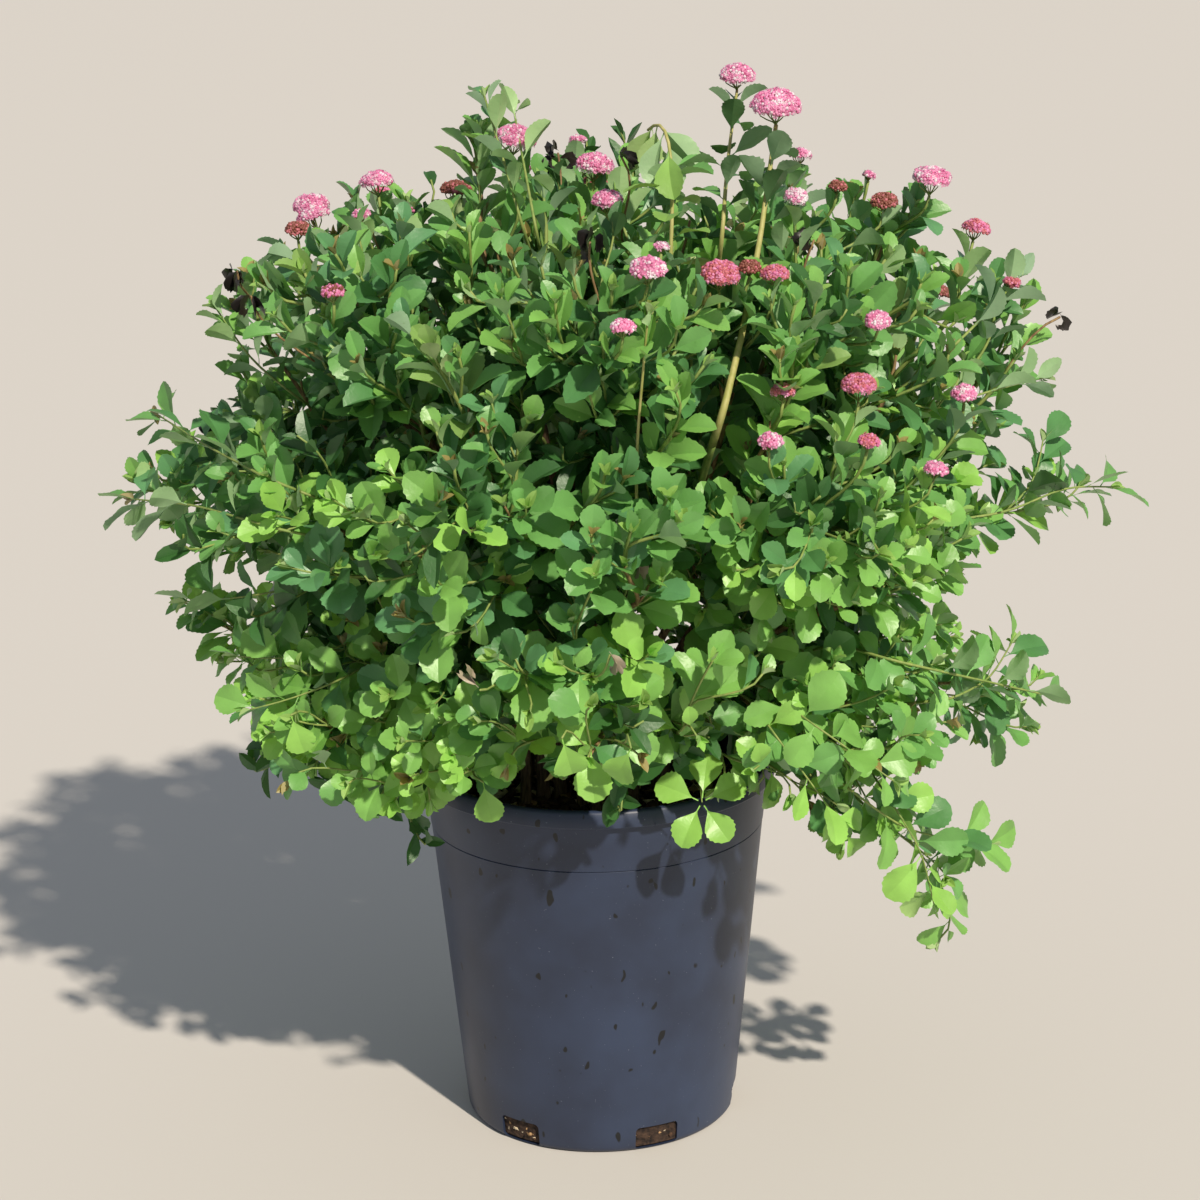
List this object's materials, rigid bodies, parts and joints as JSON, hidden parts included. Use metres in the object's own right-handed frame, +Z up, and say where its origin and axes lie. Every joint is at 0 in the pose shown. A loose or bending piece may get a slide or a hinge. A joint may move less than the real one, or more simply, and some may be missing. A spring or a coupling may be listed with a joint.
{
  "type": "potted spirea",
  "caption": "Dense rounded flowering shrub, a spirea, on a clump of thin stems in a tapering black nursery pot; stands on a flat floor.",
  "frame": {"origin": "middle of the pot's flat underside", "axes": "+Z up along the pot's axis, -Y the side the picture was taken from, +X to the right as seen from there"},
  "size_m": [0.7707, 0.6379, 0.84],
  "materials": {
    "pot": "satin, blow-moulded, lightly dusty",
    "potting_mix": "rough damp bark chips",
    "bark": "matte bark",
    "leaves": "soft matte leaf"
  },
  "bodies": {
    "root": {"leaves_drooping_spray": "leaves", "leaves_hanging_spray": "leaves", "leaves_left_spray": "leaves", "leaves_left_top_shoot": "leaves", "leaves_low_left_spray": "leaves", "leaves_low_right_spray": "leaves", "leaves_middle_back": "leaves", "leaves_middle_back_left": "leaves", "leaves_middle_back_right": "leaves", "leaves_middle_front": "leaves", "leaves_middle_front_left": "leaves", "leaves_middle_front_right": "leaves", "leaves_middle_right": "leaves", "leaves_right_spray": "leaves", "leaves_right_top_shoot": "leaves", "leaves_second_flower_shoot": "leaves", "leaves_shoulder_back": "leaves", "leaves_shoulder_back_left": "leaves", "leaves_shoulder_back_right": "leaves", "leaves_shoulder_front": "leaves", "leaves_shoulder_front_left": "leaves", "leaves_shoulder_front_right": "leaves", "leaves_skirt_back": "leaves", "leaves_skirt_back_left": "leaves", "leaves_skirt_back_right": "leaves", "leaves_skirt_front": "leaves", "leaves_skirt_front_left": "leaves", "leaves_skirt_front_right": "leaves", "leaves_tall_flower_shoot": "leaves", "leaves_top_back": "leaves", "leaves_top_front_left": "leaves", "leaves_top_front_right": "leaves", "leaves_upper_left_spray": "leaves", "leaves_upper_right_spray": "leaves", "leaves_wilted_shoot": "leaves", "pot": "pot", "potting_mix": "potting_mix", "stem_middle_back": "bark", "stem_middle_back_left": "bark", "stem_middle_back_right": "bark", "stem_middle_front": "bark", "stem_middle_front_left": "bark", "stem_middle_front_right": "bark", "stem_middle_right": "bark", "stem_shoulder_back": "bark", "stem_shoulder_back_left": "bark", "stem_shoulder_back_right": "bark", "stem_shoulder_front": "bark", "stem_shoulder_front_left": "bark", "stem_shoulder_front_right": "bark", "stem_skirt_back": "bark", "stem_skirt_back_left": "bark", "stem_skirt_back_right": "bark", "stem_skirt_front": "bark", "stem_skirt_front_left": "bark", "stem_skirt_front_right": "bark", "stem_top_back": "bark", "stem_top_front_left": "bark", "stem_top_front_right": "bark"}
  },
  "joints": []
}
